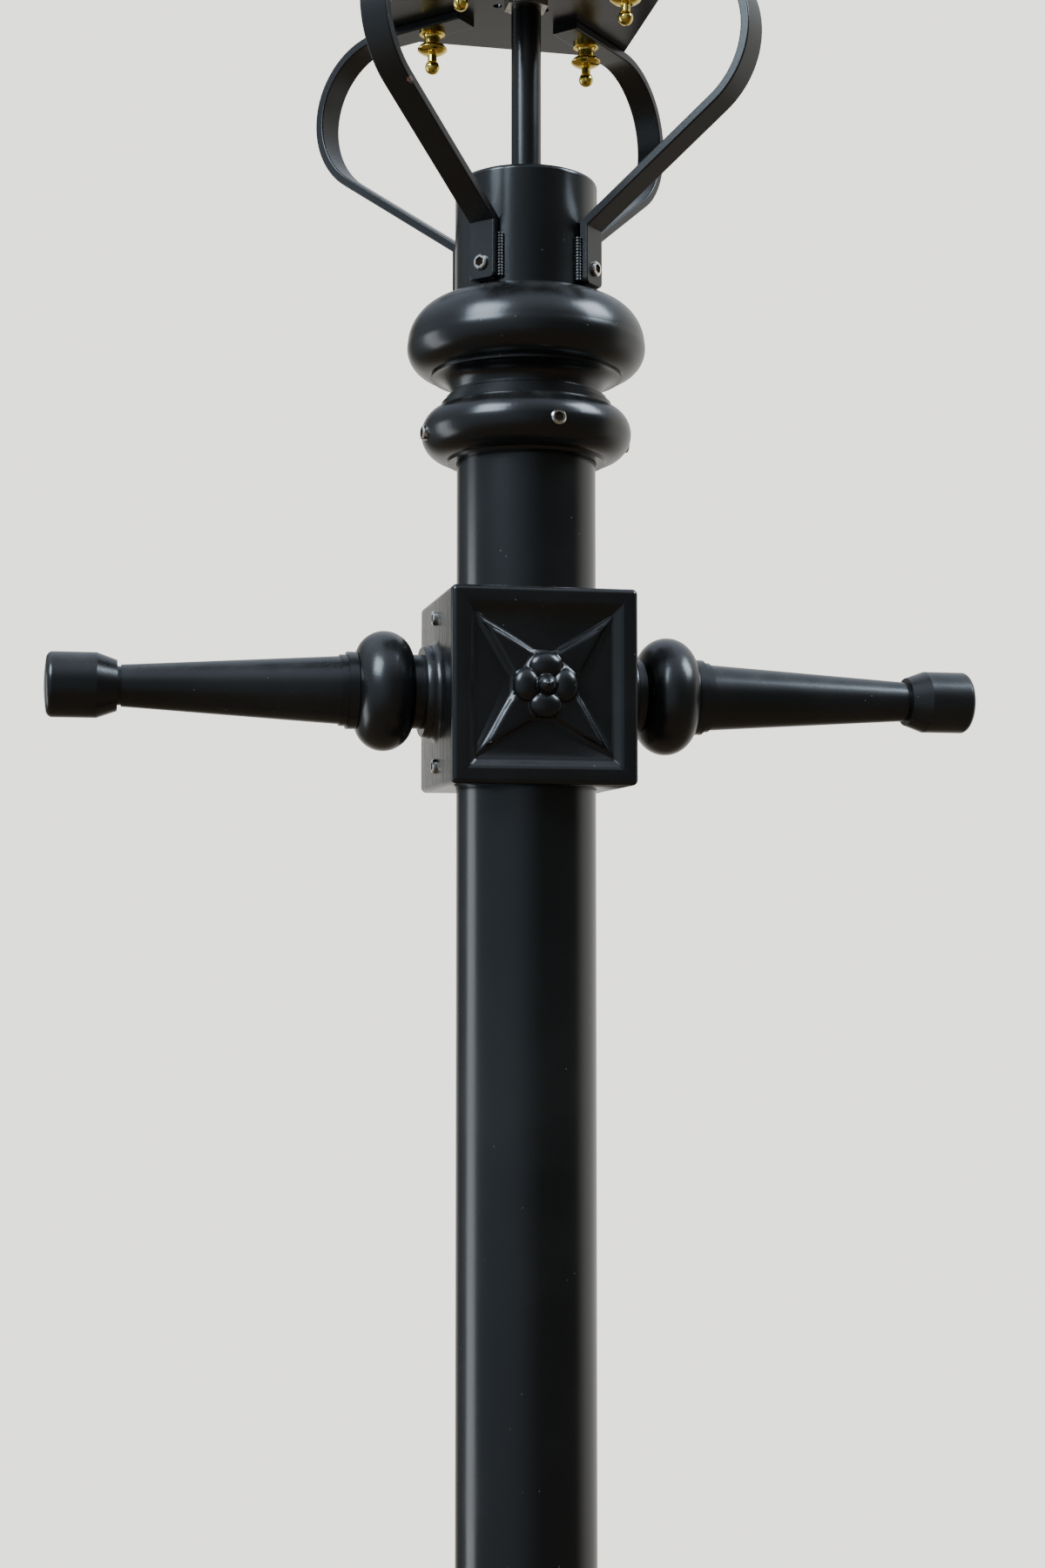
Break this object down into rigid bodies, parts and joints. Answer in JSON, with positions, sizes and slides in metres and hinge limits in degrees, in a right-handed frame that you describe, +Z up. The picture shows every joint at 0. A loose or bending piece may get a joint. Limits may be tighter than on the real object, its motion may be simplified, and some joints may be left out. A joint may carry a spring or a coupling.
{
  "type": "street lamp post",
  "caption": "Street lamp post: tube on a cast pedestal, ladder block with turned arms, beaded collar, strap bracket with drops, glazed square lantern.",
  "frame": {"origin": "middle of the pedestal's underside, on the ground", "axes": "+Z up the post; the ladder arms lie along X; the pedestal's door, the star panel and the lantern's door face -Y"},
  "size_m": [0.513, 0.352, 2.657],
  "materials": {
    "black_paint": "gloss black paint over steel",
    "black_cast": "gloss black paint over a casting",
    "stainless": "bright stainless set screws",
    "zinc_steel": "zinc plated steel",
    "brass": "polished brass",
    "clear_glass": "clear float glass",
    "opal_glass": "opal glass",
    "porcelain": "glazed porcelain",
    "lamp_metal": "pressed aluminium",
    "white_enamel": "white enamel",
    "board": "varnished plywood",
    "fuse_plastic": "moulded grey plastic"
  },
  "bodies": {
    "post": {"access_door_hinge_pins": "zinc_steel", "bracket_sleeve": "black_paint", "brass_drops": "brass", "collar_grub_screws": "stainless", "column_collar": "black_cast", "column_tube": "black_paint", "corner_bar_front_left": "black_paint", "corner_bar_front_right": "black_paint", "corner_bar_rear_left": "black_paint", "corner_bar_rear_right": "black_paint", "crown_finial": "black_paint", "cut_out_board": "board", "cut_out_box": "fuse_plastic", "cut_out_lid": "fuse_plastic", "drop_nuts": "zinc_steel", "earth_stud": "brass", "glass_pane_left": "clear_glass", "glass_pane_rear": "clear_glass", "glass_pane_right": "clear_glass", "ladder_arm_left": "black_paint", "ladder_arm_right": "black_paint", "ladder_arm_studs": "zinc_steel", "ladder_block": "black_cast", "ladder_block_screws": "stainless", "lamp_cap": "lamp_metal", "lamp_globe": "opal_glass", "lamp_holder": "porcelain", "lantern_base_plate": "black_paint", "lantern_bottom_rail": "black_paint", "lantern_door_hinge_pins": "zinc_steel", "lantern_top_rail": "black_paint", "pedestal_cap": "black_cast", "pedestal_cap_bolts": "zinc_steel", "pedestal_case": "black_cast", "pedestal_neck_screws": "stainless", "pipe_lock_nuts": "zinc_steel", "reflector": "white_enamel", "roof_shell": "black_paint", "roof_vent": "black_paint", "sleeve_cap": "black_paint", "spigot_tube": "zinc_steel", "strap_front_left": "black_paint", "strap_front_right": "black_paint", "strap_grub_screws": "stainless", "strap_rear_left": "black_paint", "strap_rear_right": "black_paint", "strap_welds": "black_paint", "supply_pipe": "black_paint", "vent_crown": "black_paint"},
    "pedestal_door": {"access_door": "black_paint"},
    "pedestal_lock": {"access_door_lock": "zinc_steel"},
    "lantern_door": {"lantern_door_frame": "black_paint", "lantern_door_glass": "clear_glass"},
    "lantern_latch": {"lantern_door_latch": "brass"}
  },
  "joints": [
    {"name": "access_door_hinge", "type": "hinge", "parent": "post", "child": "pedestal_door", "pos_m": [-0.0539, -0.0879, 0.235], "axis": [0, 0, -1], "range_deg": [0, 110]},
    {"name": "access_door_lock_turn", "type": "hinge", "parent": "pedestal_door", "child": "pedestal_lock", "pos_m": [0.022, -0.08, 0.235], "axis": [0, 1, 0], "range_deg": [0, 90]},
    {"name": "lantern_door_hinge", "type": "hinge", "parent": "post", "child": "lantern_door", "pos_m": [-0.11525, -0.11602, 2.20388], "axis": [0.2229, 0.2229, -0.949], "range_deg": [0, 100]},
    {"name": "lantern_latch_turn", "type": "hinge", "parent": "lantern_door", "child": "lantern_latch", "pos_m": [0.09176, -0.11125, 2.205], "axis": [0, 0.9735, 0.2286], "range_deg": [0, 90]}
  ]
}
